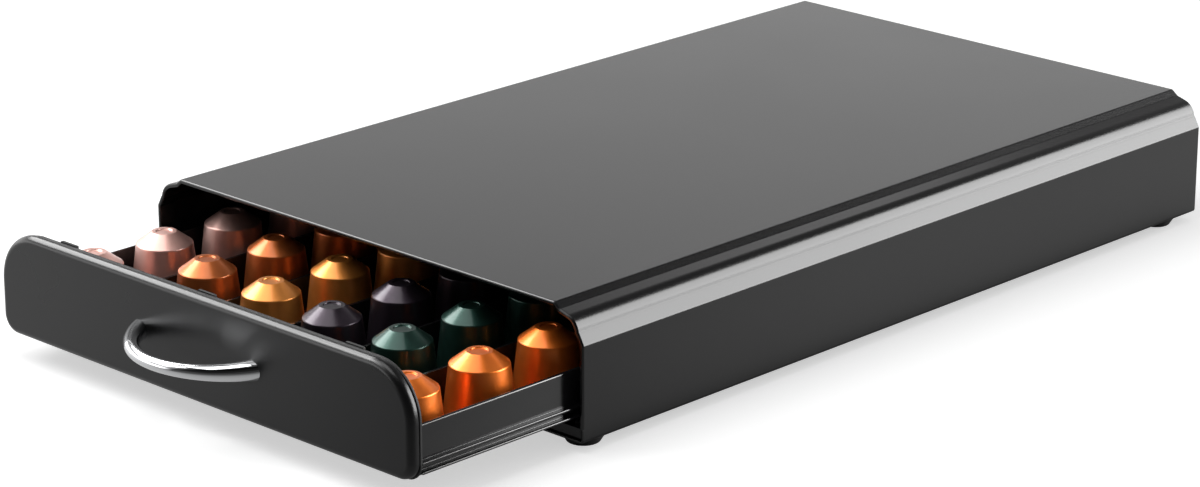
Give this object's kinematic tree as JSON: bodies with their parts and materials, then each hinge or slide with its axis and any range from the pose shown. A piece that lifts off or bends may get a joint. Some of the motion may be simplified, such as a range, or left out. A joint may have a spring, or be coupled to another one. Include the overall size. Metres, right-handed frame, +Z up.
{
  "type": "coffee pod drawer",
  "caption": "Low black sheet-metal drawer unit that stands under a coffee machine and keeps coffee pods upright in lanes on a pull-out tray with a chrome bow handle.",
  "frame": {"origin": "on the worktop, at the bottom centre of the box around the whole object with its drawer pulled out as stored", "axes": "+X to the right seen from the front, +Y from the front to the back, +Z up"},
  "size_m": [0.25, 0.506, 0.0585],
  "materials": {
    "case_paint": "black satin powder coat on steel sheet",
    "panel_paint": "black satin paint",
    "inner_paint": "black matt powder coat",
    "tray_paint": "black satin powder coat",
    "runner_steel": "black coated steel",
    "frame_plastic": "black moulded plastic",
    "rubber": "black matt rubber",
    "chrome": "polished chrome plate",
    "zinc_steel": "zinc plated steel",
    "pod_rose": "rose anodised aluminium foil",
    "pod_copper": "copper coloured anodised aluminium",
    "pod_gold": "gold coloured anodised aluminium",
    "pod_plum": "dark plum anodised aluminium",
    "pod_green": "dark green anodised aluminium",
    "pod_orange": "orange anodised aluminium"
  },
  "bodies": {
    "case": {"sleeve": "case_paint", "floor_plate": "inner_paint", "back_panel": "case_paint", "rear_bumpers": "rubber", "floor_rivets": "zinc_steel", "foot_front_left": "rubber", "foot_front_right": "rubber", "foot_back_left": "rubber", "foot_back_right": "rubber", "foot_screws": "zinc_steel", "foot_nuts": "zinc_steel", "runner_left": "runner_steel", "runner_right": "runner_steel"},
    "drawer": {"tray_rail_left": "tray_paint", "tray_rail_right": "tray_paint", "tray_floor": "tray_paint", "tray_back": "tray_paint", "lane_divider_1": "tray_paint", "lane_divider_2": "tray_paint", "lane_divider_3": "tray_paint", "lane_divider_4": "tray_paint", "lane_divider_5": "tray_paint", "tray_rivets": "zinc_steel", "pull_stops": "zinc_steel", "pull_stop_rivets": "zinc_steel", "front_panel": "panel_paint", "panel_frame": "frame_plastic", "panel_clips": "frame_plastic", "handle": "chrome", "handle_nuts": "zinc_steel", "panel_brackets": "zinc_steel", "bracket_screws": "zinc_steel", "pods_lane_1": "pod_rose", "pods_lane_2": "pod_copper", "pods_lane_3": "pod_gold", "pods_lane_4": "pod_plum", "pods_lane_5": "pod_green", "pods_lane_6": "pod_orange"}
  },
  "joints": [
    {"name": "drawer_slide", "type": "slide", "parent": "case", "child": "drawer", "axis": [0, -1, 0], "range_m": [-0.0863, 0.204]}
  ]
}
